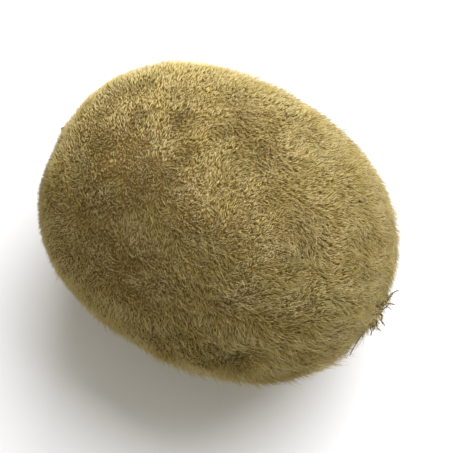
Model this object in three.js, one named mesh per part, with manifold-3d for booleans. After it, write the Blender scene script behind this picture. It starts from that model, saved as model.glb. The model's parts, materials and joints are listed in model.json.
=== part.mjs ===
// One whole kiwi fruit, lying on its side as picked.
// Millimetres, +Z up. The long axis runs along X: the stem end faces -X and the blossom end +X.
// Skin and flesh grew as one solid, with the woody scar of the stem at one end and the hard
// little beak of the flower at the other. The dried sepals lie round the scar, and the dried
// styles, the wiry threads left of the flower, stand on the beak.

import * as THREE from "three";
import { mergeVertices } from "three/addons/utils/BufferGeometryUtils.js";
import Module from "manifold-3d";

// Driving dimensions of the fruit
const LENGTH = 66; // shoulder of the stem end to shoulder of the blossom end
const WIDTH = 53;
const HEIGHT = 49.5; // before the resting spot is pressed flat
const BLUNTNESS = 2.25; // exponent of the long outline: 2 is an ellipse, more is blunter
const STEM_FULLNESS = 0.025; // how much wider the stem half is than the blossom half
const RESTING_DEPTH = 0.7; // how much of the round side the flat spot takes off

// Stem end
const DIMPLE_DEPTH = 1.7;
const DIMPLE_RADIUS = 6.5;
const SCAR_RADIUS = 2.7;
const SCAR_HEIGHT = 0.9;
const SEPALS = 5;
const SEPAL_LENGTH = 4.6;
const SEPAL_WIDTH = 3.4;
const SEPAL_THICKNESS = 0.5;
const SEPAL_LIFT = 0.9; // how far the dried tip curls off the skin

// Blossom end
const BEAK_RADIUS = 3.4;
const BEAK_HEIGHT = 1.3;
const BEAK_TIP_RADIUS = 2.1;
const STYLES = 14;
const STYLE_LENGTH = 2.2; // the shortest one
const STYLE_EXTRA_LENGTH = 1.8; // how much longer the longest one is
const STYLE_RADIUS = 0.22;
const STYLE_CURL = 1.2; // sideways bend at the tip
const STYLE_FIRST_LEAN = 36; // degrees from the fruit's axis, in the middle of the tuft
const STYLE_LAST_LEAN = 86; // and at its rim

// Fineness of the faceted solids
const SEGMENTS_AROUND = 48;
const SKIN_ROWS = 26;
const STYLE_SIDES = 6;
const STYLE_ROWS = 6;

const CLEARANCE = 0.35; // gap between neighbouring pieces
const GOLDEN_ANGLE = Math.PI * (3 - Math.sqrt(5));
const MEAN_RADIUS = (WIDTH + HEIGHT) / 4;

const skinColour = new THREE.MeshStandardMaterial({ color: 0x8d7843, roughness: 0.95, metalness: 0 });
const sepalColour = new THREE.MeshStandardMaterial({ color: 0x5a4327, roughness: 0.9, metalness: 0 });
const styleColour = new THREE.MeshStandardMaterial({ color: 0x2f2416, roughness: 0.85, metalness: 0 });

// The long outline, as distance along the fruit and radius, at an angle from the stem pole.
function outlineAt(angle) {
  const along = -Math.cos(angle);
  const across = Math.sin(angle);
  const reach = (Math.abs(along) ** BLUNTNESS + across ** BLUNTNESS) ** (-1 / BLUNTNESS);
  const x = (reach * along * LENGTH) / 2;
  const radius = reach * across * MEAN_RADIUS * (1 - (STEM_FULLNESS * x * 2) / LENGTH);
  return { x, radius };
}

// The round shoulder, sunk into a shallow dimple near the stem.
function skinAt(angle) {
  const { x, radius } = outlineAt(angle);
  const sink = angle < Math.PI / 2 ? DIMPLE_DEPTH * Math.exp(-((radius / DIMPLE_RADIUS) ** 2)) : 0;
  return { x: x + sink, radius };
}

// The angle at which the outline has the given radius, on the stem or the blossom side.
function angleAtRadius(radius, atStem) {
  let [low, high] = [0, Math.PI / 2];
  for (let step = 0; step < 40; step++) {
    const middle = (low + high) / 2;
    const reached = outlineAt(atStem ? middle : Math.PI - middle).radius;
    if (reached < radius) low = middle;
    else high = middle;
  }
  return atStem ? low : Math.PI - low;
}

// Height of the stem end's skin along X, at a distance from the axis.
function stemSkinX(radius) {
  return skinAt(angleAtRadius(radius, true)).x;
}

// Half the fruit's section, from the middle of the stem scar to the tip of the beak.
function fruitProfile() {
  const scarFoot = stemSkinX(SCAR_RADIUS);
  const first = angleAtRadius(SCAR_RADIUS * 1.12, true);
  const last = angleAtRadius(BEAK_RADIUS, false);
  const points = [
    [0, scarFoot - SCAR_HEIGHT * 0.45],
    [SCAR_RADIUS * 0.4, scarFoot - SCAR_HEIGHT * 0.6],
    [SCAR_RADIUS * 0.72, scarFoot - SCAR_HEIGHT],
    [SCAR_RADIUS * 0.95, scarFoot - SCAR_HEIGHT * 0.85],
  ];
  for (let row = 0; row <= SKIN_ROWS; row++) {
    const share = row / SKIN_ROWS;
    // rows lie closer together towards both ends, where the outline turns fastest
    const eased = share - Math.sin(2 * Math.PI * share) / 14;
    const { x, radius } = skinAt(first + (last - first) * eased);
    points.push([radius, x]);
  }
  const beakFoot = points.at(-1)[1];
  points.push([(BEAK_RADIUS + BEAK_TIP_RADIUS) / 2, beakFoot + BEAK_HEIGHT * 0.6]);
  points.push([BEAK_TIP_RADIUS, beakFoot + BEAK_HEIGHT * 0.95]);
  points.push([BEAK_TIP_RADIUS / 2, beakFoot + BEAK_HEIGHT]);
  points.push([0, beakFoot + BEAK_HEIGHT * 0.9]);
  return points.map(([radius, x]) => new THREE.Vector2(radius, x));
}

// Turns a shape that stands along Y into one that lies along X.
const yToX = new THREE.Matrix4().makeBasis(
  new THREE.Vector3(0, 0, 1),
  new THREE.Vector3(1, 0, 0),
  new THREE.Vector3(0, 1, 0),
);

// Position-only geometry with its shared corners merged, as a boolean and a closed solid need.
function closed(geometry) {
  geometry.deleteAttribute("normal");
  geometry.deleteAttribute("uv");
  return mergeVertices(geometry, 1e-4);
}

const wasm = await Module();
wasm.setup();

function toSolid(geometry) {
  const merged = closed(geometry);
  return new wasm.Manifold(
    new wasm.Mesh({
      numProp: 3,
      vertProperties: merged.attributes.position.array,
      triVerts: new Uint32Array(merged.index.array),
    }),
  );
}

function fromSolid(solid) {
  const { vertProperties, triVerts } = solid.getMesh();
  const geometry = new THREE.BufferGeometry();
  geometry.setAttribute("position", new THREE.BufferAttribute(vertProperties, 3));
  geometry.setIndex(new THREE.BufferAttribute(triVerts, 1));
  geometry.computeVertexNormals();
  return geometry;
}

function named(name, geometry, material) {
  const mesh = new THREE.Mesh(geometry, material);
  mesh.name = name;
  return mesh;
}

// Skin and flesh: the profile turned about the long axis, a little lower than wide, with the
// underside cut flat where the ripening fruit lay.
function makeFruit(profile) {
  const body = new THREE.LatheGeometry(profile, SEGMENTS_AROUND);
  body.applyMatrix4(yToX);
  body.scale(1, WIDTH / 2 / MEAN_RADIUS, HEIGHT / 2 / MEAN_RADIUS);
  const below = new THREE.BoxGeometry(LENGTH, WIDTH, HEIGHT);
  below.translate(0, 0, RESTING_DEPTH - HEIGHT);
  return fromSolid(toSolid(body).subtract(toSolid(below)));
}

// A dried sepal: a thin pointed scrap from the rim of the scar outwards, following the skin and
// curling off it towards its tip. It is a sphere pressed flat, then laid on the skin.
function makeSepal(turn) {
  const scrap = new THREE.SphereGeometry(1, 12, 8);
  const corners = scrap.attributes.position;
  const at = new THREE.Vector3();
  for (let i = 0; i < corners.count; i++) {
    at.fromBufferAttribute(corners, i);
    const share = (at.x + 1) / 2; // 0 at the scar, 1 at the tip
    const radius = SCAR_RADIUS + CLEARANCE + share * SEPAL_LENGTH;
    // turned over, as its thickness runs along -X
    const sideways = (-at.y * SEPAL_WIDTH * (1 - 0.45 * share)) / 2;
    const height = CLEARANCE * 1.3 + ((at.z + 1) * SEPAL_THICKNESS) / 2 + SEPAL_LIFT * share ** 2;
    const reach = Math.hypot(radius, sideways);
    const angle = turn + Math.atan2(sideways, radius);
    corners.setXYZ(
      i,
      stemSkinX(reach) - height,
      (reach * Math.cos(angle) * WIDTH) / 2 / MEAN_RADIUS,
      (reach * Math.sin(angle) * HEIGHT) / 2 / MEAN_RADIUS,
    );
  }
  return scrap;
}

// A dried style: a tapering thread that leaves the beak, leans outwards and bends sideways.
function makeStyle(index, beakTip) {
  const share = (index + 0.5) / STYLES;
  const turn = index * GOLDEN_ANGLE;
  const lean = THREE.MathUtils.degToRad(THREE.MathUtils.lerp(STYLE_FIRST_LEAN, STYLE_LAST_LEAN, share));
  const length = STYLE_LENGTH + STYLE_EXTRA_LENGTH * ((index * 0.618) % 1);
  const curl = STYLE_CURL * Math.sin(index * 2.4);

  const profile = [new THREE.Vector2(0, 0)];
  for (let row = 0; row < STYLE_ROWS; row++) {
    const along = row / STYLE_ROWS;
    profile.push(new THREE.Vector2(STYLE_RADIUS * (1 - 0.5 * along), length * along));
  }
  profile.push(new THREE.Vector2(0, length));
  const thread = new THREE.LatheGeometry(profile, STYLE_SIDES);
  const corners = thread.attributes.position;
  for (let i = 0; i < corners.count; i++) {
    const along = corners.getY(i) / length;
    corners.setZ(i, corners.getZ(i) + curl * along ** 2);
  }

  // Y runs along the thread, X away from the fruit's axis and Z round it
  const outwards = new THREE.Vector3(0, Math.cos(turn), Math.sin(turn));
  const along = outwards.clone().multiplyScalar(Math.sin(lean)).setX(Math.cos(lean));
  const sideways = new THREE.Vector3(0, -Math.sin(turn), Math.cos(turn));
  const square = new THREE.Vector3().crossVectors(along, sideways);
  const root = outwards.clone().multiplyScalar(BEAK_TIP_RADIUS * 0.95 * Math.sqrt(share));
  root.x = beakTip + CLEARANCE + STYLE_RADIUS * Math.sin(lean);
  const place = new THREE.Matrix4().makeBasis(square, along, sideways).setPosition(root);
  return thread.applyMatrix4(place);
}

const profile = fruitProfile();
const beakTip = Math.max(...profile.map((point) => point.y));
const group = new THREE.Group();
group.add(named("kiwi_fruit", makeFruit(profile), skinColour));
for (let i = 0; i < SEPALS; i++) {
  const turn = ((i + 0.25) * 2 * Math.PI) / SEPALS;
  group.add(named(`dried_sepal_${i + 1}`, makeSepal(turn), sepalColour));
}
for (let i = 0; i < STYLES; i++) {
  const number = String(i + 1).padStart(2, "0");
  group.add(named(`dried_style_${number}`, makeStyle(i, beakTip), styleColour));
}

// The origin is the middle of the underside of the box round all the pieces.
const box = new THREE.Box3().setFromObject(group, true);
const middle = box.getCenter(new THREE.Vector3());
group.position.set(-middle.x, -middle.y, -box.min.z);

export default group;
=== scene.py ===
"""A whole kiwi fruit lying on its side: skin, hair coat, dried sepals and dried styles, and a plain stage.

It is laid out as a Blender add-on and run as a script. Lengths are in metres. The fruit's long axis runs
along X, with the stem end at -X and the blossom end at +X, and +Z is up.
"""

import json
import math

import bpy
import numpy as np
from bpy.props import FloatProperty, FloatVectorProperty, IntProperty, PointerProperty
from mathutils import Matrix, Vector
from mathutils.kdtree import KDTree

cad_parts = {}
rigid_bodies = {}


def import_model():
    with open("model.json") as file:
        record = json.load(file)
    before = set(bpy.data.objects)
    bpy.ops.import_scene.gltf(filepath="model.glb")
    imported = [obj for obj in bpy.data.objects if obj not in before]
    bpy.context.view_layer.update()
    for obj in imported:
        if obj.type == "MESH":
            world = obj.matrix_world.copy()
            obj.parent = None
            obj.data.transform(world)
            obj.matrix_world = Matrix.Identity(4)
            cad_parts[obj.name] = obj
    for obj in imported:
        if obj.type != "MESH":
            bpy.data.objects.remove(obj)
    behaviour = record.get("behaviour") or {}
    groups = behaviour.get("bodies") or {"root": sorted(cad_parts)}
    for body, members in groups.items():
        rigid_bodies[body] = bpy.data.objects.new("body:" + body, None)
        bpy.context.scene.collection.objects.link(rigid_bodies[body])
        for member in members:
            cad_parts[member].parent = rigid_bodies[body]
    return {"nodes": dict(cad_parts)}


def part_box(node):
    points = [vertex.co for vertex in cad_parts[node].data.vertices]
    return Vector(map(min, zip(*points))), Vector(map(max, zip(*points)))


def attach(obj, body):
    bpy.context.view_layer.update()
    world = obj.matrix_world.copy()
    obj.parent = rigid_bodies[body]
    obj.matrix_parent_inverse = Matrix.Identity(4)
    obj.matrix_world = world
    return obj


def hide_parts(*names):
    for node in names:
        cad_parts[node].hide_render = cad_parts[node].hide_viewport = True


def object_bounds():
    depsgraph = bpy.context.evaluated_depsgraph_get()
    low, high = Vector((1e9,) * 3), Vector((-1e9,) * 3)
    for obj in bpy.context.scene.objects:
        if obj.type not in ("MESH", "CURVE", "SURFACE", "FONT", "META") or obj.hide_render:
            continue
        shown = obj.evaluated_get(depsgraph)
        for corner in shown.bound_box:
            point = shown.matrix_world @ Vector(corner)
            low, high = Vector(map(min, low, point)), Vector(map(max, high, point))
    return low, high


bl_info = {
    "name": "Kiwi Fruit",
    "version": (1, 0, 0),
    "blender": (4, 5, 0),
    "location": "View3D > Sidebar > Kiwi",
    "description": "Models a whole hairy kiwi fruit with its dried sepals and styles",
    "category": "Add Mesh",
}

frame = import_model()
CAD_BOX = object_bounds()
FRUIT_LOW, FRUIT_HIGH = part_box("kiwi_fruit")
SEPAL_NODES = sorted(name for name in frame["nodes"] if name.startswith("dried_sepal"))
STYLE_NODES = sorted(name for name in frame["nodes"] if name.startswith("dried_style"))
SEPAL_NAMES = [node.replace("dried_", "") for node in SEPAL_NODES]
STYLE_NAMES = [node.replace("dried_", "") for node in STYLE_NODES]

MM = 0.001
GOLDEN_ANGLE = math.pi * (3 - math.sqrt(5))
FRUIT_WIDTH = FRUIT_HIGH.y - FRUIT_LOW.y

# Stem scar from its middle outwards: distance from the axis, in scar radii, and height, in scar heights
SCAR_OUTLINE = (
    (0, 0.3), (0.14, 0.34), (0.26, 0.62), (0.36, 0.68), (0.46, 0.5), (0.58, 0.62),
    (0.7, 0.95), (0.78, 1), (0.88, 0.96), (0.97, 0.7), (1.02, 0.3),
)
# Beak from its foot inwards: 0 at the rim of its top to 1 at its foot, and height, in beak heights
BEAK_OUTLINE = (
    (0.8, 0.3), (0.6, 0.62), (0.4, 0.82), (0.15, 0.95), (-0.15, 1), (-0.5, 0.97), (-0.8, 0.9),
)
BEAK_MIDDLE = 0.9  # height on the axis, in beak heights

PRESSED_HAIR = 0.12 * MM  # thickness of the hair that is pressed flat under the fruit
# where a hair can bend, from 0 at its root to 1 at its tip
HAIR_LEVELS = {"short": (0, 1), "long": (0, 0.35, 0.7, 1), "stray": (0, 0.2, 0.4, 0.6, 0.8, 1)}
# pieces of the coat, in the order in which zone_of numbers them
HAIR_ZONES = (
    "hair_stem_end",
    "hair_far_side",
    "hair_top",
    "hair_near_side",
    "hair_underside",
    "hair_blossom_end",
)
TINT_TILES = 16  # tiles along each side of the hairs' flat map, one tile to a tint
TILE_MARGIN = 0.1  # part of a tile left free at each edge
FILAMENT_SHARE = 0.62  # thickness of a filament, as a share of a style's
HANGING_SHARE = 0.85  # thickness of the long hanging one


def from_hex(code):
    """An sRGB colour written as rrggbb, as the linear colour that shaders take."""
    parts = [int(code[i : i + 2], 16) / 255 for i in (0, 2, 4)]
    return tuple(x / 12.92 if x <= 0.04045 else ((x + 0.055) / 1.055) ** 2.4 for x in parts)


def length(name, description, millimetres):
    """A property that holds a length."""
    return FloatProperty(
        name=name, description=description, default=millimetres * MM, unit="LENGTH", precision=5
    )


def angle(name, description, degrees):
    """A property that holds an angle."""
    return FloatProperty(name=name, description=description, default=math.radians(degrees), subtype="ANGLE")


def share(name, description, default):
    """A property that holds a plain number."""
    return FloatProperty(name=name, description=description, default=default)


def colour(name, description, code):
    """A property that holds a colour, given as an sRGB hex value."""
    return FloatVectorProperty(
        name=name, description=description, default=from_hex(code), subtype="COLOR", size=3, min=0, max=1
    )


class KiwiShape(bpy.types.PropertyGroup):
    """The shape of the fruit itself."""

    fruit_length: length("Length", "Shoulder to shoulder, without the beak", 66)
    resting_depth: length("Resting depth", "How much of the round side the flat spot takes off", 0.7)
    bluntness: share("Bluntness", "Exponent of the long outline: 2 is an ellipse", 2.25)
    stem_fullness: share("Stem fullness", "How much wider the stem half is than the blossom half", 0.025)
    dimple_depth: length("Dimple depth", "Depth of the dimple round the stem scar", 1.7)
    dimple_radius: length("Dimple radius", "Radius of that dimple", 6.5)
    scar_radius: length("Scar radius", "Radius of the woody stem scar", 2.7)
    scar_height: length("Scar height", "How far the scar stands up from the dimple", 0.9)
    beak_radius: length("Beak radius", "Radius of the foot of the beak", 3.4)
    beak_height: length("Beak height", "Height of the beak", 1.3)
    beak_tip_radius: length("Beak tip radius", "Radius of the top of the beak", 2.1)
    unevenness: length("Unevenness", "Height of the soft swells in the skin", 0.16)
    rows: IntProperty(name="Rows", description="Rows of faces from end to end", default=96)
    steps: IntProperty(name="Steps", description="Faces round the fruit", default=144)


class KiwiHair(bpy.types.PropertyGroup):
    """The hair coat: short stubble, long fine hairs that lie over it, and a few stray wavy ones on top."""

    short_count: IntProperty(name="Short hairs", description="Number of short hairs", default=128000)
    short_length: length("Short hair", "Usual length of a short hair", 1.25)
    short_radius: length("Short hair radius", "Half the thickness of a short hair at its root", 0.095)
    short_lean: angle("Short hair lean", "Usual lean of a short hair from upright", 40)
    short_mess: angle("Short hair mess", "How far short hairs stray from the way the coat lies", 29)
    short_tuft: share("Short hair tuft", "Mean number of short hairs that draw into one tuft", 7)
    long_count: IntProperty(name="Long hairs", description="Number of long hairs", default=20500)
    long_length: length("Long hair", "Usual length of a long hair", 2.4)
    long_radius: length("Long hair radius", "Half the thickness of a long hair at its root", 0.07)
    long_lean: angle("Long hair lean", "Usual lean of a long hair from upright", 58)
    long_mess: angle("Long hair mess", "How far long hairs stray from the way the coat lies", 13)
    long_tuft: share("Long hair tuft", "Mean number of long hairs that draw into one lock", 4)
    stray_count: IntProperty(name="Stray hairs", description="Number of stray hairs", default=1800)
    stray_length: length("Stray hair", "Usual length of a stray hair", 3.4)
    stray_radius: length("Stray hair radius", "Half the thickness of a stray hair at its root", 0.085)
    stray_lean: angle("Stray hair lean", "Usual lean of a stray hair from upright", 67)
    stray_mess: angle("Stray hair mess", "How far stray hairs stray from the way the coat lies", 22)
    stray_tuft: share("Stray hair tuft", "Mean number of stray hairs that draw into one lock", 2)


class KiwiFlower(bpy.types.PropertyGroup):
    """What is left of the flower at the two ends."""

    clearance: length("Clearance", "Gap between the skin and a sepal", 0.35)
    sepal_length: length("Sepal length", "Length of a dried sepal", 4.6)
    sepal_width: length("Sepal width", "Width of a dried sepal", 3.4)
    sepal_thickness: length("Sepal thickness", "Thickness of a dried sepal", 0.16)
    sepal_lift: length("Sepal lift", "How far a sepal's tip curls off the skin", 0.9)
    style_length: length("Style length", "Length of the shortest style", 2.2)
    style_extra: length("Style extra", "How much longer the longest style is", 1.8)
    style_radius: length("Style radius", "Half the thickness of a style at its root", 0.2)
    style_curl: length("Style curl", "Sideways bend at a style's tip", 1.2)
    first_lean: angle("First lean", "Lean of the middle style from the fruit's axis", 36)
    last_lean: angle("Last lean", "Lean of the outermost style", 86)
    hanging_style: IntProperty(
        name="Hanging style", description="Number of the style with the long filament", default=5
    )
    hanging_length: length("Hanging length", "Length of the filament that hangs over the hair", 8.5)
    hanging_turn: angle("Hanging turn", "Where round the beak that filament stands", 214)
    hanging_lean: angle("Hanging lean", "Lean of that filament from the fruit's axis", 99)


class KiwiColours(bpy.types.PropertyGroup):
    """Colours of the real stuff."""

    skin_dark: colour("Skin, dark", "Olive-brown skin", "705826")
    skin_light: colour("Skin, light", "Paler corky skin", "8f763c")
    skin_fleck: colour("Skin fleck", "Rusty corky flecks", "735a28")
    beak: colour("Beak", "Hard dead tissue of the beak", "3f2d16")
    scar_dark: colour("Scar, dark", "Fibres in the stem scar", "3a2a18")
    scar_light: colour("Scar, light", "Bleached wood of the stem scar", "8c7550")
    # colour at the root, darker than the hair's middle: painted shade deep in the coat, between the hairs
    hair_root: colour("Hair root", "Where a hair leaves the skin", "876f1f")
    hair_dark: colour("Hair, dark", "Middle of the darkest hairs", "9f8930")
    hair_dark_tip: colour("Hair tip, dark", "Tip of the darkest hairs", "c0ab5b")
    hair_light: colour("Hair, light", "Middle of the palest hairs", "c6b270")
    hair_light_tip: colour("Hair tip, light", "Tip of the palest hairs", "ece1ba")
    sepal_dark: colour("Sepal, dark", "Veins and folds of the dried sepals", "38290f")
    sepal_light: colour("Sepal, light", "Blades of the dried sepals", "6e5a31")
    sepal_edge: colour("Sepal edge", "Frayed pale edges of the dried sepals", "94794d")
    style_dark: colour("Style, dark", "Dried styles", "382c18")
    style_light: colour("Style, light", "Paler dried fibres in the styles", "7d6840")


class KiwiStage(bpy.types.PropertyGroup):
    """The plain floor, the light and the camera."""

    camera_distance: length("Camera distance", "From the camera to the middle of the fruit", 420)
    camera_turn: angle("Camera turn", "How far the camera stands round towards the blossom end", 30)
    camera_rise: angle("Camera rise", "Height of the camera above the horizon", 72)
    field: length("Field", "Width of the view at the fruit", 84)
    floor: colour("Floor", "Matt pale paper", "ebecee")
    floor_size: length("Floor size", "Side of the sheet of paper", 8000)
    key: colour("Key light", "Daylight from above and behind", "fbfbff")
    key_size: length("Key light size", "Side of the square light from above and behind", 1300)
    key_power: share("Key light power", "Watts of that light", 30)
    fill: colour("Fill light", "Warm light from in front", "fff0cc")
    fill_size: length("Fill light size", "Side of the square light from in front", 800)
    fill_power: share("Fill light power", "Watts of that light", 1.6)
    room: colour("Room", "Even light from all round", "fffcf3")
    room_strength: share("Room strength", "Strength of the even light", 0.41)


# Shape of the fruit ---------------------------------------------------


def fruit_height(shape):
    """Height of the fruit before its resting spot is pressed flat."""
    return FRUIT_HIGH.z - FRUIT_LOW.z + shape.resting_depth


def outline(shape, turn):
    """Distance along the fruit and radius of its long outline, at angles from the stem pole."""
    along = -np.cos(turn)
    across = np.sin(turn)
    power = shape.bluntness
    reach = (np.abs(along) ** power + across**power) ** (-1 / power)
    x = reach * along * shape.fruit_length / 2
    mean_radius = (FRUIT_WIDTH + fruit_height(shape)) / 4
    radius = reach * across * mean_radius * (1 - shape.stem_fullness * x * 2 / shape.fruit_length)
    sink = shape.dimple_depth * np.exp(-((radius / shape.dimple_radius) ** 2))
    return x + np.where(turn < math.pi / 2, sink, 0), radius


def turn_at_radius(shape, wanted, at_stem):
    """The angle from the stem pole at which the outline has this radius, in one half or the other."""
    turns = np.linspace(0, math.pi / 2, 2000)
    turns = turns if at_stem else math.pi - turns
    return np.interp(wanted, outline(shape, turns)[1], turns)


def stem_skin(shape, radius):
    """Where along X the stem end's skin lies, at these distances from the axis."""
    return outline(shape, turn_at_radius(shape, radius, True))[0]


def half_section(shape):
    """Rows of (x, radius) from the middle of the stem scar to the tip of the beak."""
    foot = float(stem_skin(shape, shape.scar_radius))
    rows = [(foot - rise * shape.scar_height, reach * shape.scar_radius) for reach, rise in SCAR_OUTLINE]
    first = turn_at_radius(shape, shape.scar_radius * 1.12, True)  # just outside the scar
    last = turn_at_radius(shape, shape.beak_radius, False)
    steps = np.linspace(0, 1, shape.rows)
    # rows lie closer together towards both ends, where the outline turns fastest
    eased = steps - np.sin(2 * math.pi * steps) / 14
    rows += list(zip(*outline(shape, first + (last - first) * eased)))
    beak_foot = rows[-1][0]
    for reach, rise in BEAK_OUTLINE:
        radius = shape.beak_tip_radius + reach * (shape.beak_radius - shape.beak_tip_radius)
        rows.append((beak_foot + rise * shape.beak_height, max(radius, 0.2 * MM)))
    rows.append((beak_foot + BEAK_MIDDLE * shape.beak_height, 0))
    return np.array(rows)


def origin(shape):
    """Where the middle of the fruit's outline lies in the frame."""
    return Vector((
        FRUIT_LOW.x - half_section(shape)[:, 0].min(),
        (FRUIT_LOW.y + FRUIT_HIGH.y) / 2,
        FRUIT_HIGH.z - fruit_height(shape) / 2,
    ))


# Modelling ------------------------------------------------------------


def wander(places, wavelength, seed, waves=7):
    """A smooth random field over places, mostly from -1 to 1, with swells about a wavelength long."""
    dice = np.random.default_rng(seed)
    total = np.zeros(len(places))
    for _ in range(waves):
        direction = dice.normal(size=3)
        direction *= 2 * math.pi / (np.linalg.norm(direction) * wavelength * dice.uniform(0.7, 1.5))
        total += np.sin(places @ direction + dice.uniform(0, 2 * math.pi))
    usual = math.sqrt(waves / 2)  # how far such a sum of waves usually is from 0
    return total * 0.55 / usual


def unit(vectors):
    """Vectors brought to length 1."""
    return vectors / np.maximum(np.linalg.norm(vectors, axis=-1, keepdims=True), 1e-12)


def new_object(name, points, edges=(), faces=()):
    """A mesh object at the origin, made active and selected alone."""
    mesh = bpy.data.meshes.new(name)
    mesh.from_pydata(points, edges, faces)
    piece = bpy.data.objects.new(name, mesh)
    bpy.context.collection.objects.link(piece)
    only(piece)
    return piece


def only(piece):
    """Leaves this object alone selected and active."""
    bpy.ops.object.select_all(action="DESELECT")
    piece.select_set(True)
    bpy.context.view_layer.objects.active = piece


def in_edit_mode(*steps):
    """Runs mesh operators on all of the active object."""
    bpy.ops.object.mode_set(mode="EDIT")
    for operator, settings in steps:
        bpy.ops.mesh.select_all(action="SELECT")
        operator(**settings)
    bpy.ops.object.mode_set(mode="OBJECT")


def coordinates(mesh):
    """A mesh's vertices as rows of x, y, z."""
    found = np.empty(len(mesh.vertices) * 3)
    mesh.vertices.foreach_get("co", found)
    return found.reshape(-1, 3)


def set_coordinates(mesh, places):
    """Moves a mesh's vertices."""
    mesh.vertices.foreach_set("co", places.ravel())
    mesh.update()


def set_attribute(mesh, name, values):
    """Stores one number for each vertex, for a material to read."""
    mesh.attributes.new(name, "FLOAT", "POINT").data.foreach_set("value", np.asarray(values, np.float32))


def finished(piece, material, slot, *nodes):
    """Gives a piece its material and its body, and hides the nodes that it stands for. The slot argument is
    not used.
    """
    piece.data.materials.clear()
    piece.data.materials.append(material)
    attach(piece, "root")
    if nodes:
        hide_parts(*nodes)
    return piece


# Materials ------------------------------------------------------------


def add_node(tree, kind, values=None, links=None, stops=None, **settings):
    """Adds a shader node with its settings, socket values, colour stops and incoming links."""
    node = tree.nodes.new(kind)
    for name, value in settings.items():
        setattr(node, name, value)
    for socket, value in (values or {}).items():
        node.inputs[socket].default_value = value
    for socket, source in (links or {}).items():
        tree.links.new(source, node.inputs[socket])
    if stops:
        elements = node.color_ramp.elements
        while len(elements) < len(stops):
            elements.new(0.5)
        for element, (position, shade) in zip(elements, stops):
            element.position = position
            element.color = (*shade, 1)
    return node


def new_material(name, values):
    """A material and its shader, whose plain sockets get these values."""
    material = bpy.data.materials.new(name)
    material.use_nodes = True
    shader = material.node_tree.nodes["Principled BSDF"]
    for socket, value in values.items():
        shader.inputs[socket].default_value = value
    return material, material.node_tree, shader


def skin_material(colours):
    """Kiwi skin: a thin dead corky layer, dull and rough, olive-brown with rusty flecks and fine cracks."""
    material, tree, shader = new_material("kiwi_skin", {"Specular IOR Level": 0.3})
    place = add_node(tree, "ShaderNodeTexCoord").outputs["Object"]
    patches = add_node(
        tree,
        "ShaderNodeTexNoise",
        {"Scale": 1 / (9 * MM), "Detail": 5, "Roughness": 0.6},
        {"Vector": place},
    )
    flecks = add_node(
        tree,
        "ShaderNodeTexVoronoi",
        {"Scale": 1 / (0.9 * MM), "Randomness": 1},
        {"Vector": place},
    )
    cork = add_node(
        tree,
        "ShaderNodeValToRGB",
        links={"Fac": patches.outputs["Fac"]},
        stops=[(0.35, colours.skin_dark), (0.68, colours.skin_light)],
    )
    near = add_node(
        tree,
        "ShaderNodeMapRange",
        {"From Min": 0.18, "From Max": 0.32, "To Min": 0.75, "To Max": 0},
        {"Value": flecks.outputs["Distance"]},
    )
    flecked = add_node(
        tree,
        "ShaderNodeMix",
        {"B": (*colours.skin_fleck, 1)},
        {"Factor": near.outputs["Result"], "A": cork.outputs["Color"]},
        data_type="RGBA",
    )
    fibres = add_node(
        tree,
        "ShaderNodeTexNoise",
        {"Scale": 1 / (0.5 * MM), "Detail": 4, "Roughness": 0.7},
        {"Vector": place},
    )
    wood = add_node(
        tree,
        "ShaderNodeValToRGB",
        links={"Fac": fibres.outputs["Fac"]},
        stops=[(0.35, colours.scar_dark), (0.66, colours.scar_light)],
    )
    woody = add_node(tree, "ShaderNodeAttribute", attribute_name="woody").outputs["Fac"]
    shade = add_node(
        tree,
        "ShaderNodeMix",
        links={"Factor": woody, "A": flecked.outputs[2], "B": wood.outputs["Color"]},
        data_type="RGBA",
    )
    hard = add_node(tree, "ShaderNodeAttribute", attribute_name="beak").outputs["Fac"]
    shade = add_node(
        tree,
        "ShaderNodeMix",
        {"B": (*colours.beak, 1)},
        {"Factor": hard, "A": shade.outputs[2]},
        data_type="RGBA",
    )
    rough = add_node(
        tree,
        "ShaderNodeMapRange",
        {"To Min": 0.7, "To Max": 0.95},
        {"Value": patches.outputs["Fac"]},
    )
    bump = add_node(
        tree,
        "ShaderNodeBump",
        {"Strength": 0.6, "Distance": 0.12 * MM},
        {"Height": fibres.outputs["Fac"]},
    )
    tree.links.new(shade.outputs[2], shader.inputs["Base Color"])
    tree.links.new(rough.outputs["Result"], shader.inputs["Roughness"])
    tree.links.new(bump.outputs["Normal"], shader.inputs["Normal"])
    return material


def hair_material(colours):
    """Kiwi hair: dead plant fibre, darker at the skin, where the colour paints the shade deep in the coat,
    and paler towards the tip, with a soft sheen.
    """
    material, tree, shader = new_material(
        "kiwi_hair",
        {"Roughness": 0.7, "Specular IOR Level": 0.25, "Sheen Weight": 0.15, "Sheen Roughness": 0.5},
    )
    along = add_node(tree, "ShaderNodeAttribute", attribute_name="along").outputs["Fac"]
    tint = add_node(tree, "ShaderNodeAttribute", attribute_name="tint").outputs["Fac"]
    # both ramps start from the root colour, painted shade where the hair leaves the skin, and grow paler
    # towards the tip
    dark = add_node(
        tree,
        "ShaderNodeValToRGB",
        links={"Fac": along},
        stops=[(0, colours.hair_root), (0.4, colours.hair_dark), (1, colours.hair_dark_tip)],
    )
    light = add_node(
        tree,
        "ShaderNodeValToRGB",
        links={"Fac": along},
        stops=[(0, colours.hair_root), (0.4, colours.hair_light), (1, colours.hair_light_tip)],
    )
    shade = add_node(
        tree,
        "ShaderNodeMix",
        links={"Factor": tint, "A": dark.outputs["Color"], "B": light.outputs["Color"]},
        data_type="RGBA",
    )
    tree.links.new(shade.outputs[2], shader.inputs["Base Color"])
    return material


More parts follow.
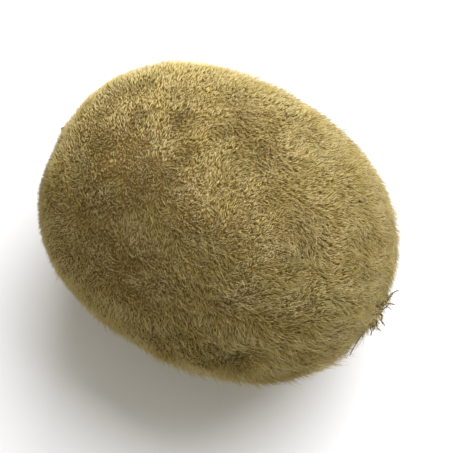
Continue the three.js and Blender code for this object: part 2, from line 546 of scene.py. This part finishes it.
def sepal_material(colours):
    """Dried sepal: a brittle papery leaf, brown between darker veins, with frayed pale edges."""
    material, tree, shader = new_material("dried_leaf", {"Roughness": 0.85, "Specular IOR Level": 0.25})
    place = add_node(tree, "ShaderNodeTexCoord").outputs["Object"]
    mottle = add_node(
        tree,
        "ShaderNodeTexNoise",
        {"Scale": 1 / (0.8 * MM), "Detail": 6, "Roughness": 0.65},
        {"Vector": place},
    )
    veins = add_node(tree, "ShaderNodeAttribute", attribute_name="vein").outputs["Fac"]
    blade = add_node(
        tree,
        "ShaderNodeValToRGB",
        links={"Fac": mottle.outputs["Fac"]},
        stops=[(0.3, colours.sepal_dark), (0.65, colours.sepal_light)],
    )
    shade = add_node(
        tree,
        "ShaderNodeMix",
        {"B": (*colours.sepal_dark, 1)},
        {"Factor": veins, "A": blade.outputs["Color"]},
        data_type="RGBA",
    )
    frayed = add_node(tree, "ShaderNodeAttribute", attribute_name="edge").outputs["Fac"]
    shade = add_node(
        tree,
        "ShaderNodeMix",
        {"B": (*colours.sepal_edge, 1)},
        {"Factor": frayed, "A": shade.outputs[2]},
        data_type="RGBA",
    )
    bump = add_node(
        tree,
        "ShaderNodeBump",
        {"Strength": 0.5, "Distance": 0.08 * MM},
        {"Height": mottle.outputs["Fac"]},
    )
    tree.links.new(shade.outputs[2], shader.inputs["Base Color"])
    tree.links.new(bump.outputs["Normal"], shader.inputs["Normal"])
    return material


def style_material(colours):
    """Dried style: a wiry strand of dead fibres, nearly black with paler streaks."""
    material, tree, shader = new_material("dried_fibre", {"Roughness": 0.75, "Specular IOR Level": 0.3})
    place = add_node(tree, "ShaderNodeTexCoord").outputs["Object"]
    streaks = add_node(
        tree,
        "ShaderNodeTexNoise",
        {"Scale": 1 / (0.45 * MM), "Detail": 4, "Roughness": 0.6},
        {"Vector": place},
    )
    shade = add_node(
        tree,
        "ShaderNodeValToRGB",
        links={"Fac": streaks.outputs["Fac"]},
        stops=[(0.36, colours.style_dark), (0.6, colours.style_light)],
    )
    tree.links.new(shade.outputs["Color"], shader.inputs["Base Color"])
    return material


def floor_material(paper):
    """Matt paper: nearly white, with no shine."""
    values = {"Base Color": (*paper, 1), "Roughness": 0.95, "Specular IOR Level": 0.1}
    return new_material("matt_paper", values)[0]


# Skin -----------------------------------------------------------------


class KIWI_OT_skin(bpy.types.Operator):
    """Model the skin with its stem scar and its beak"""

    bl_idname = "kiwi.skin"
    bl_label = "Skin"

    def execute(self, context):
        shape = context.scene.kiwi_shape
        section = half_section(shape)
        skin = new_object(
            "fruit_skin",
            [(x, 0, radius) for x, radius in section],
            [(i, i + 1) for i in range(len(section) - 1)],
        )
        mean_radius = (FRUIT_WIDTH + fruit_height(shape)) / 4
        squash = (1, FRUIT_WIDTH / 2 / mean_radius, fruit_height(shape) / 2 / mean_radius)
        in_edit_mode(
            (bpy.ops.mesh.spin, {
                "steps": shape.steps, "angle": 2 * math.pi, "center": (0, 0, 0), "axis": (1, 0, 0),
            }),
            (bpy.ops.mesh.remove_doubles, {"threshold": 0.001 * MM}),
            (bpy.ops.mesh.normals_make_consistent, {"inside": False}),
        )
        self.in_order(skin, section, shape.steps)
        in_edit_mode(
            (bpy.ops.transform.resize, {"value": squash, "center_override": (0, 0, 0)}),
            (bpy.ops.transform.translate, {"value": origin(shape)}),
        )
        self.weather(skin.data, shape)
        bpy.ops.object.shade_smooth()
        finished(skin, skin_material(context.scene.kiwi_colours), "skin", "kiwi_fruit")
        return {"FINISHED"}

    def in_order(self, skin, section, steps):
        """Puts the corners and faces in one fixed order, row by row. The order that spin gives varies."""
        places = coordinates(skin.data)
        radius = np.hypot(places[:, 1], places[:, 2])
        row = np.hypot(places[:, :1] - section[:, 0], radius[:, None] - section[:, 1]).argmin(1)
        turn_step = 2 * math.pi / steps
        step = np.round(np.arctan2(places[:, 1], places[:, 2]) / turn_step) % steps
        step[radius < 0.01 * MM] = 0
        order = np.lexsort((step, row))
        new_index = np.argsort(order)
        faces = []
        for face in skin.data.polygons:
            corners = new_index[list(face.vertices)].tolist()
            first = corners.index(min(corners))
            faces.append(corners[first:] + corners[:first])
        x, radius = section[row].T
        turn = step * turn_step
        places = np.column_stack([x, radius * np.sin(turn), radius * np.cos(turn)])
        ordered = bpy.data.meshes.new(skin.name)
        ordered.from_pydata(places[order], [], sorted(faces))
        skin.data = ordered

    def weather(self, mesh, shape):
        """Soft swells over the skin, fibrous scar wood, and the underside pressed flat."""
        places = coordinates(mesh)
        centre = np.array(origin(shape))
        out = places - centre
        across = np.hypot(out[:, 1], out[:, 2])
        stem = out[:, 0] < 0
        woody = np.where(stem, 1 - np.clip((across / shape.scar_radius - 1) / 0.15, 0, 1), 0)
        beak = np.where(stem, 0, 1 - np.clip((across / shape.beak_radius - 0.5) / 0.3, 0, 1))
        swell = wander(places, 30 * MM, 3) + 0.4 * wander(places, 11 * MM, 4)
        round_part = np.clip(across / (12 * MM), 0, 1)
        places += unit(out) * (swell * round_part * shape.unevenness)[:, None]
        angle_round = np.arctan2(out[:, 2], out[:, 1])
        fibre = np.sin(angle_round * 19 + wander(places, 3 * MM, 5) * 3) * np.clip(across / MM, 0, 1)
        ragged = 0.13 * fibre + 0.15 * wander(places, MM, 6) + 0.1 * wander(places, 0.5 * MM, 8)
        places[:, 0] += woody * ragged * MM
        places[:, 0] += beak * (0.16 * wander(places, 1.2 * MM, 7) + 0.08 * fibre) * MM
        places[:, 2] = np.maximum(places[:, 2], FRUIT_LOW.z + PRESSED_HAIR)
        set_coordinates(mesh, places)
        set_attribute(mesh, "woody", np.maximum(woody, beak))
        pith = np.where(stem, np.exp(-((across / (0.32 * shape.scar_radius)) ** 2)), 0)
        set_attribute(mesh, "beak", np.maximum(0.85 * beak, 0.7 * pith))


# Hair -----------------------------------------------------------------


def model_strand(levels):
    """One hair of unit length and root radius: a three-sided cone, cut where its copies bend.

    Returns each corner's level, its place round the hair and the faces.
    """
    bpy.ops.object.select_all(action="DESELECT")
    bpy.ops.mesh.primitive_cone_add(vertices=3, radius1=1, radius2=0, depth=1, location=(0, 0, 0.5))
    cone = bpy.context.object
    bpy.ops.object.transform_apply(location=True, rotation=True, scale=True)
    cuts = [(bpy.ops.mesh.bisect, {"plane_co": (0, 0, z), "plane_no": (0, 0, 1)}) for z in levels[1:-1]]
    in_edit_mode(*cuts, (bpy.ops.mesh.quads_convert_to_tris, {}))
    corners = coordinates(cone.data)
    faces = np.array([face.vertices[:] for face in cone.data.polygons])
    bpy.data.objects.remove(cone)
    return np.abs(corners[:, 2:] - np.array(levels)).argmin(1), corners[:, :2], faces


def scattered(mesh, count, dice):
    """Places strewn evenly over a mesh, with the normal and the woodiness there."""
    mesh.calc_loop_triangles()
    triangles = np.empty(len(mesh.loop_triangles) * 3, np.int32)
    mesh.loop_triangles.foreach_get("vertices", triangles)
    triangles = triangles.reshape(-1, 3)
    places = coordinates(mesh)
    normals = np.empty(len(mesh.vertices) * 3)
    mesh.vertex_normals.foreach_get("vector", normals)
    woody = np.empty(len(mesh.vertices), np.float32)
    mesh.attributes["woody"].data.foreach_get("value", woody)
    corner = places[triangles]
    area = np.linalg.norm(np.cross(corner[:, 1] - corner[:, 0], corner[:, 2] - corner[:, 0]), axis=1)
    reach = np.cumsum(area) / area.sum()
    chosen = triangles[np.searchsorted(reach, (np.arange(count) + dice.uniform(size=count)) / count)]
    first = np.sqrt(dice.uniform(size=count))
    second = dice.uniform(size=count)
    weights = np.stack([1 - first, first * (1 - second), first * second], 1)[:, :, None]
    return (
        (places[chosen] * weights).sum(1),
        unit((normals.reshape(-1, 3)[chosen] * weights).sum(1)),
        (woody[chosen] * weights[:, :, 0]).sum(1),
    )


def grow(roots, normals, lay, lengths, lean, curl, wave, levels):
    """Paths and headings of hairs that leave their roots rather upright, lean over, curl and wave."""
    side = np.cross(normals, lay)
    path, heading = [roots], []
    for start, end in zip(levels[:-1], levels[1:]):
        middle = (start + end) / 2
        tilt = (lean * (0.55 + 0.75 * middle))[:, None]
        swing = (curl * middle + wave * np.sin(5 * middle + 30 * wave))[:, None]
        step = np.cos(tilt) * normals + np.sin(tilt) * (np.cos(swing) * lay + np.sin(swing) * side)
        heading.append(step)
        path.append(path[-1] + step * (lengths * (end - start))[:, None])
    return np.stack(path, 1), np.stack([*heading, heading[-1]], 1)


def drawn_together(path, tufts, pull, levels, dice):
    """The same paths in tufts: each hair bends towards the nearest leading hair, most at its tip."""
    leaders = dice.choice(len(path), min(tufts, len(path)), replace=False)
    tree = KDTree(len(leaders))
    for i, leader in enumerate(leaders):
        tree.insert(path[leader, 0], i)
    tree.balance()
    nearest = leaders[[tree.find(root)[1] for root in path[:, 0]]]
    beside = (path[:, 0] - path[nearest, 0])[:, None] * 0.3
    weight = (pull[:, None] * np.array(levels) ** 1.3)[:, :, None]
    return path + weight * (path[nearest] + beside - path)


def zone_of(offsets):
    """Number of the piece of the coat that each hair belongs to: an end, or a quarter of the middle."""
    stem, blossom = np.quantile(offsets[:, 0], (1 / 6, 5 / 6))
    quarter = np.floor((np.degrees(np.arctan2(offsets[:, 2], offsets[:, 1])) + 45) / 90) % 4
    return np.where(offsets[:, 0] < stem, 0, np.where(offsets[:, 0] > blossom, 5, 1 + quarter))


def strand_map(tint, levels, ring, across, faces):
    """A flat map for the hairs: one tile to a tint, with a hair's girth across it and its length up it."""
    turn = np.arctan2(across[:, 1], across[:, 0]) / (2 * math.pi) % 1
    turn = turn[faces]
    level = np.array(levels)[ring][faces]
    # a side that crosses the seam runs on past 1, to 4/3 at most
    wrapped = np.ptp(turn, axis=1) > 0.5
    turn[wrapped] += turn[wrapped] < 0.5
    tip = level == 1
    base_turn = (turn * ~tip).sum(1) / np.maximum((~tip).sum(1), 1)
    turn = np.where(tip, base_turn[:, None], turn) / (4 / 3)
    tile = np.floor(tint * TINT_TILES**2)
    low = np.stack([tile % TINT_TILES, tile // TINT_TILES], 1)[:, None, None, :]
    inside = (1 - 2 * TILE_MARGIN) * np.stack([turn, level], 2)[None]
    return (low + TILE_MARGIN + inside) / TINT_TILES


class KIWI_OT_hair(bpy.types.Operator):
    """Grow the hair coat over the skin"""

    bl_idname = "kiwi.hair"
    bl_label = "Hair"

    def execute(self, context):
        material = hair_material(context.scene.kiwi_colours)
        coats = [self.coat(context, kind) for kind in HAIR_LEVELS]
        for zone, name in enumerate(HAIR_ZONES):
            self.plant(name, zone, coats, material)
        return {"FINISHED"}

    def coat(self, context, kind):
        """Paths and tints of one kind of hair, all over the skin."""
        shape, hair = context.scene.kiwi_shape, context.scene.kiwi_hair
        count, usual_length, radius, usual_lean, mess, tuft = (
            getattr(hair, f"{kind}_{what}")
            for what in ("count", "length", "radius", "lean", "mess", "tuft")
        )
        levels = HAIR_LEVELS[kind]
        short = kind == "short"
        dice = np.random.default_rng(8 + len(levels))
        centre = np.array(origin(shape))
        surplus = 1.1 if short else 2.6  # more roots than hairs, to choose from
        skin = bpy.data.objects["fruit_skin"].data
        roots, normals, woody = scattered(skin, int(count * surplus), dice)
        towards_blossom = (roots - centre)[:, 0] * 2 / shape.fruit_length
        # none on wood, and the longer kinds in patches and more of them towards the blossom end
        wanted = 1 - woody * 3
        if not short:
            wanted *= 0.55 + 0.45 * towards_blossom + 0.25 * wander(roots, 9 * MM, 20)
        grows = np.flatnonzero(dice.uniform(size=len(roots)) < wanted)
        grows = np.sort(dice.permutation(grows)[:count])
        roots, normals, towards_blossom = roots[grows], normals[grows], towards_blossom[grows]
        count = len(roots)

        # the coat lies towards the blossom end, turned in wide and narrow swirls
        swirl = 0.35 + 0.9 * wander(roots, 14 * MM, 21)
        swirl += (0.5 if short else 0.75) * wander(roots, 5 * MM, 22)
        swirl += dice.normal(0, mess, count)
        lay = unit(np.array([1.0, 0, 0]) - normals * normals[:, :1])
        side = np.cross(normals, lay)
        lay = np.cos(swirl)[:, None] * lay + np.sin(swirl)[:, None] * side
        lean = usual_lean + np.radians(10 * wander(roots, 8 * MM, 23) + dice.normal(0, 12, count))
        lean += np.radians(8) * towards_blossom
        curl = wander(roots, 4 * MM, 24) + dice.normal(0, 0.5, count)
        wave = dice.normal(0, 0.12 * usual_length / MM, count)

        # it grows longer towards the blossom end, and is stunted in the dimple and under the sepals
        near_stem = np.clip((-towards_blossom - 0.94) / 0.05, 0, 1)
        growth = 1 + (0.15 if short else 0.35) * np.clip(towards_blossom, -0.7, 1) - 0.1 * near_stem
        growth *= 1 + 0.15 * wander(roots, 6 * MM, 25)
        growth *= np.where(self.under_sepals(roots), 0.25, 1)
        lengths = usual_length * growth * dice.uniform(0.65, 1.25, count)

        path, heading = grow(roots, normals, lay, lengths, np.clip(lean, 0.2, 1.35), curl, wave, levels)
        pull = dice.uniform(0.05, 0.45, count) if short else dice.uniform(0.2, 0.65, count)
        tint = 0.5 - 0.05 * short + 0.16 * wander(roots, 7 * MM, 26) + dice.normal(0, 0.14, count)
        return {
            "levels": levels,
            "path": drawn_together(path, int(count / tuft), pull, levels, dice),
            "heading": heading,
            "radius": radius * dice.uniform(0.7, 1.15, count),
            "tint": np.clip(tint, 0, 0.999),
            "zone": zone_of(roots - centre),
        }

    def under_sepals(self, roots):
        """Which of these roots lie under a dried sepal, where the hair is stunted."""
        sepals = [coordinates(bpy.data.objects[name].data) for name in SEPAL_NAMES]
        tree = KDTree(sum(len(sepal) for sepal in sepals))
        for i, (_, y, z) in enumerate(np.concatenate(sepals)):
            tree.insert((0, y, z), i)
        tree.balance()
        return [x < 0 and tree.find((0, y, z))[2] < 0.25 * MM for x, y, z in roots]

    def plant(self, name, zone, coats, material):
        """One piece of the coat: the modelled strand, copied along every path of this zone."""
        points, faces, along, tints, maps = [], [], [], [], []
        start = 0
        for coat in coats:
            here = coat["zone"] == zone
            ring, across, strand = model_strand(coat["levels"])
            heading = coat["heading"][here][:, ring]
            # two directions square to each hair, the first one square to this slant as well
            first = unit(np.cross((0.31, 0.55, 0.77), heading))
            second = np.cross(heading, first)
            around = first * across[:, :1] + second * across[:, 1:]
            corner = coat["path"][here][:, ring] + coat["radius"][here][:, None, None] * around
            # what would reach below the floor is pressed flat on it
            corner[:, :, 2] = np.maximum(corner[:, :, 2], FRUIT_LOW.z + 0.01 * MM)
            count = len(corner)
            points.append(corner.reshape(-1, 3))
            faces.append((start + np.arange(count)[:, None, None] * len(ring) + strand).reshape(-1, 3))
            along.append(np.tile(np.array(coat["levels"])[ring], count))
            tints.append(np.repeat(coat["tint"][here], len(ring)))
            maps.append(strand_map(coat["tint"][here], coat["levels"], ring, across, strand).ravel())
            start += count * len(ring)
        piece = new_object(name, np.concatenate(points), faces=np.concatenate(faces))
        set_attribute(piece.data, "along", np.concatenate(along))
        set_attribute(piece.data, "tint", np.concatenate(tints))
        piece.data.uv_layers.new(name="OFBake").uv.foreach_set("vector", np.concatenate(maps))
        bpy.ops.object.shade_smooth()
        finished(piece, material, "skin")


# Dried flower ---------------------------------------------------------


class KIWI_OT_sepals(bpy.types.Operator):
    """Model one dried sepal and lay its copies round the stem scar"""

    bl_idname = "kiwi.sepals"
    bl_label = "Dried sepals"

    def execute(self, context):
        blade = self.model_blade()
        material = sepal_material(context.scene.kiwi_colours)
        faces = [face.vertices[:] for face in blade.data.polygons]
        for index, (name, node) in enumerate(zip(SEPAL_NAMES, SEPAL_NODES)):
            sepal = new_object(name, coordinates(blade.data), faces=faces)
            self.lay_on_stem_end(context, sepal.data, index)
            thick = sepal.modifiers.new("thickness", "SOLIDIFY")
            thick.thickness = context.scene.kiwi_flower.sepal_thickness
            thick.offset = 0
            fine = sepal.modifiers.new("smooth", "SUBSURF")
            fine.levels = fine.render_levels = 1
            for modifier in ("thickness", "smooth"):
                bpy.ops.object.modifier_apply(modifier=modifier)
            bpy.ops.object.shade_smooth()
            finished(sepal, material, "dried_sepal", node)
        bpy.data.objects.remove(blade)
        return {"FINISHED"}

    def model_blade(self):
        """A flat pointed blade: x runs from 0 to 1 along it and y from -1 to 1 across it."""
        bpy.ops.object.select_all(action="DESELECT")
        bpy.ops.mesh.primitive_grid_add(x_subdivisions=22, y_subdivisions=14, size=2)
        blade = bpy.context.object
        bpy.ops.object.transform_apply(location=True, rotation=True, scale=True)
        places = coordinates(blade.data)
        places[:, 0] = (places[:, 0] + 1) / 2
        set_coordinates(blade.data, places)
        return blade

    def lay_on_stem_end(self, context, mesh, index):
        """Lays a blade on the skin beside the scar: crumpled, frayed, and curling off the skin."""
        shape, flower = context.scene.kiwi_shape, context.scene.kiwi_flower
        dice = np.random.default_rng(40 + index)
        places = coordinates(mesh)
        along, across = places[:, 0], places[:, 1].copy()
        # the flat blade in millimetres, each sepal at a level of its own, for the random fields
        flat_length = round(flower.sepal_length / MM, 3)
        flat_width = round(flower.sepal_width / MM, 3)
        level = np.full(len(along), index * 3.0)
        flat = np.stack([along * flat_length, across * (flat_width / 2), level], 1)
        half_width = 0.5 * (1 - along) ** 0.6 + 0.5 * np.sin(math.pi * along**0.75)
        frayed = 1 + 0.16 * wander(flat, 0.9, 60 + index) * np.abs(across)
        frayed += 0.07 * np.sin(along * 37 + index)
        sideways = -across * np.maximum(half_width, 0.06) * frayed * flower.sepal_width / 2
        sideways *= dice.uniform(0.6, 1)
        sideways += dice.uniform(-0.5, 0.5) * MM * along**2
        reached = flower.sepal_length * dice.uniform(0.55, 1) * (along - 0.06 * np.abs(across) ** 3)
        radius = shape.scar_radius + flower.clearance * 0.4 + reached
        fold = 0.3 * dice.uniform(0.2, 1) * MM * np.abs(across) ** 1.5
        vein = np.exp(-((across / 0.08) ** 2)) + 0.5 * np.exp(-(((np.abs(across) - 0.5) / 0.07) ** 2))
        crumple = (0.05 + 0.17 * along) * MM * (wander(flat, 1.3, 50 + index) + 0.5 * wander(flat, 0.6, 55))
        height = flower.clearance * 1.1 + flower.sepal_lift * along**2 * dice.uniform(0.3, 1.3)
        height += fold + crumple + 0.07 * MM * vein
        reach = np.hypot(radius, sideways)
        turn = (index + 0.25) * 2 * math.pi / len(SEPAL_NODES) + dice.uniform(-0.13, 0.13)
        turn = turn + np.arctan2(sideways, radius)
        mean_radius = (FRUIT_WIDTH + fruit_height(shape)) / 4
        places[:, 0] = stem_skin(shape, reach) - np.maximum(height, 0.1 * MM)
        places[:, 1] = reach * np.cos(turn) * FRUIT_WIDTH / 2 / mean_radius
        places[:, 2] = reach * np.sin(turn) * fruit_height(shape) / 2 / mean_radius
        set_coordinates(mesh, places + np.array(origin(shape)))
        set_attribute(mesh, "vein", np.clip(vein, 0, 0.8))
        edge = np.maximum((np.abs(across) - 0.72) / 0.28, (along - 0.85) / 0.15)
        set_attribute(mesh, "edge", 0.75 * np.clip(edge * (0.7 + 0.6 * wander(flat, 1.1, 65)), 0, 1))


class KIWI_OT_styles(bpy.types.Operator):
    """Model one dried style and stand its copies on the beak"""

    bl_idname = "kiwi.styles"
    bl_label = "Dried styles"

    def execute(self, context):
        thread = self.model_thread()
        faces = [face.vertices[:] for face in thread.data.polygons]
        faces += [[corner + len(thread.data.vertices) for corner in face] for face in faces]
        material = style_material(context.scene.kiwi_colours)
        for index, (name, node) in enumerate(zip(STYLE_NAMES, STYLE_NODES)):
            threads = self.stand_on_beak(context, coordinates(thread.data), index)
            style = new_object(name, np.concatenate(threads), faces=faces)
            bpy.ops.object.shade_smooth()
            finished(style, material, "dried_style", node)
        bpy.data.objects.remove(thread)
        return {"FINISHED"}

    def model_thread(self):
        """A thread of unit length and root radius that tapers and swells, with a blunt broken tip."""
        bpy.ops.object.select_all(action="DESELECT")
        bpy.ops.mesh.primitive_cylinder_add(vertices=8, radius=1, depth=1, location=(0, 0, 0.5))
        thread = bpy.context.object
        bpy.ops.object.transform_apply(location=True, rotation=True, scale=True)
        levels = [*np.linspace(0, 1, 20)[1:-1], 0.985]
        in_edit_mode(
            *[(bpy.ops.mesh.bisect, {"plane_co": (0, 0, z), "plane_no": (0, 0, 1)}) for z in levels],
        )
        places = coordinates(thread.data)
        along = places[:, 2]
        width = (1 - 0.55 * along) * (1 + 0.16 * np.sin(along * 23) + 0.1 * np.sin(along * 41 + 1))
        width *= np.where(along > 0.99, 0.45, 1)
        places[:, 0] *= width
        places[:, 1] *= width * 0.75
        set_coordinates(thread.data, places)
        return thread

    def stand_on_beak(self, context, thread, index):
        """A style on the beak, leaning outwards, bent and crooked, and a thinner filament beside it."""
        shape, flower = context.scene.kiwi_shape, context.scene.kiwi_flower
        dice = np.random.default_rng(70 + index)
        share_out = (index + 0.5) / len(STYLE_NODES)
        turn = index * GOLDEN_ANGLE
        lean = flower.first_lean + (flower.last_lean - flower.first_lean) * share_out
        reach = flower.style_length + flower.style_extra * (index * 0.618 % 1)
        curl = flower.style_curl * math.sin(index * 2.4)
        root_reach = shape.beak_tip_radius * 0.95 * math.sqrt(share_out)
        style = self.bent(context, thread, dice, turn, lean, root_reach, reach, curl, flower.style_radius)
        turn += dice.uniform(-0.5, 0.5)
        lean = dice.uniform(0.6, 1) * flower.last_lean
        root_reach = dice.uniform(0.6, 1.1) * shape.beak_tip_radius
        reach = flower.style_length * dice.uniform(0.7, 1.15)
        curl *= -dice.uniform(0.4, 0.9)
        radius = flower.style_radius * FILAMENT_SHARE
        if index + 1 == flower.hanging_style:
            turn, lean, reach = flower.hanging_turn, flower.hanging_lean, flower.hanging_length
            radius = flower.style_radius * HANGING_SHARE
        return style, self.bent(context, thread, dice, turn, lean, root_reach, reach, curl, radius)

    def bent(self, context, thread, dice, turn, lean, root_reach, reach, curl, radius):
        """A copy of the thread's corners, stood on the beak and bent."""
        shape = context.scene.kiwi_shape
        outwards = np.array([0, math.cos(turn), math.sin(turn)])
        sideways = np.array([0, -math.sin(turn), math.cos(turn)])
        along = outwards * math.sin(lean) + np.array([math.cos(lean), 0, 0])
        square = np.cross(sideways, along)
        root = outwards * root_reach
        root[0] = half_section(shape)[-1, 0]
        t = thread[:, 2]
        crooked = [
            dice.uniform(0.12, 0.3) * MM * np.sin(t * dice.uniform(4, 9) + dice.uniform(0, 6)) * np.sqrt(t)
            for _ in range(2)
        ]
        sway = curl * t**2 + crooked[0]
        lift = dice.uniform(-0.5, 0.5) * MM * t**2 + crooked[1]
        body = root + np.outer(t, along * reach) + np.outer(sway, sideways) + np.outer(lift, square)
        ring = np.outer(thread[:, 0], square) + np.outer(thread[:, 1], sideways)
        return body + ring * radius + np.array(origin(shape))


# Stage ----------------------------------------------------------------


class KIWI_OT_stage(bpy.types.Operator):
    """Set up the floor, the light and the camera"""

    bl_idname = "kiwi.stage"
    bl_label = "Floor, light and camera"

    def execute(self, context):
        stage = context.scene.kiwi_stage
        target = (CAD_BOX[0] + CAD_BOX[1]) / 2
        self.floor(stage)
        towards = Vector((math.sin(stage.camera_turn), -math.cos(stage.camera_turn), 0))
        right = Vector((math.cos(stage.camera_turn), math.sin(stage.camera_turn), 0))
        up = Vector((0, 0, 1))
        behind = (up * 0.8 - towards * 0.7 + right * 0.45) * 0.9
        in_front = up * 0.9 + towards * 0.7 - right * 0.5
        self.lamp("key", target, behind, stage.key_size, stage.key_power, stage.key)
        self.lamp("fill", target, in_front, stage.fill_size, stage.fill_power, stage.fill)
        self.world(context, stage)
        self.camera(context, stage, target, towards)
        return {"FINISHED"}

    def floor(self, stage):
        """A wide sheet of pale paper under the fruit."""
        bpy.ops.object.select_all(action="DESELECT")
        bpy.ops.mesh.primitive_grid_add(x_subdivisions=8, y_subdivisions=8, size=stage.floor_size)
        floor = bpy.context.object
        floor.name = "floor"
        floor.data.materials.append(floor_material(stage.floor))

    def lamp(self, name, target, offset, size, power, tint):
        """A square soft light that faces the fruit."""
        bpy.ops.object.light_add(type="AREA", location=target + offset)
        lamp = bpy.context.object
        lamp.name = name
        lamp.data.size = size
        lamp.data.energy = power
        lamp.data.color = tint
        lamp.rotation_mode = "QUATERNION"
        lamp.rotation_quaternion = (-offset).to_track_quat("-Z", "Y")

    def world(self, context, stage):
        """Even pale light from all round."""
        world = bpy.data.worlds.new("pale_room")
        world.use_nodes = True
        background = world.node_tree.nodes["Background"]
        background.inputs["Color"].default_value = (*stage.room, 1)
        background.inputs["Strength"].default_value = stage.room_strength
        context.scene.world = world
        context.scene.view_settings.view_transform = "Standard"

    def camera(self, context, stage, target, towards):
        """A long lens that looks down on the fruit from in front."""
        back = towards * math.cos(stage.camera_rise) + Vector((0, 0, math.sin(stage.camera_rise)))
        bpy.ops.object.camera_add(location=target + back * stage.camera_distance)
        camera = bpy.context.object
        camera.name = "camera"
        camera.rotation_mode = "QUATERNION"
        camera.rotation_quaternion = (-back).to_track_quat("-Z", "Y")
        camera.data.lens = camera.data.sensor_width * stage.camera_distance / stage.field
        camera.data.clip_start = 10 * MM
        context.scene.camera = camera


# Add-on ---------------------------------------------------------------

STEPS = (KIWI_OT_skin, KIWI_OT_sepals, KIWI_OT_styles, KIWI_OT_hair, KIWI_OT_stage)
SETTINGS = {
    "kiwi_shape": KiwiShape,
    "kiwi_hair": KiwiHair,
    "kiwi_flower": KiwiFlower,
    "kiwi_colours": KiwiColours,
    "kiwi_stage": KiwiStage,
}


class KIWI_PT_panel(bpy.types.Panel):
    """Lists the steps that make the kiwi fruit"""

    bl_label = "Kiwi Fruit"
    bl_idname = "KIWI_PT_panel"
    bl_space_type = "VIEW_3D"
    bl_region_type = "UI"
    bl_category = "Kiwi"

    def draw(self, context):
        for step in STEPS:
            self.layout.operator(step.bl_idname)
        for name, group in SETTINGS.items():
            box = self.layout.box()
            for field in group.__annotations__:
                box.prop(getattr(context.scene, name), field)


def register():
    for made in (*SETTINGS.values(), *STEPS, KIWI_PT_panel):
        bpy.utils.register_class(made)
    for name, group in SETTINGS.items():
        setattr(bpy.types.Scene, name, PointerProperty(type=group))


def unregister():
    for name in SETTINGS:
        delattr(bpy.types.Scene, name)
    for made in reversed((*SETTINGS.values(), *STEPS, KIWI_PT_panel)):
        bpy.utils.unregister_class(made)


def main():
    register()
    bpy.ops.kiwi.skin()
    bpy.ops.kiwi.sepals()
    bpy.ops.kiwi.styles()
    bpy.ops.kiwi.hair()
    bpy.ops.kiwi.stage()


if __name__ == "__main__":
    main()
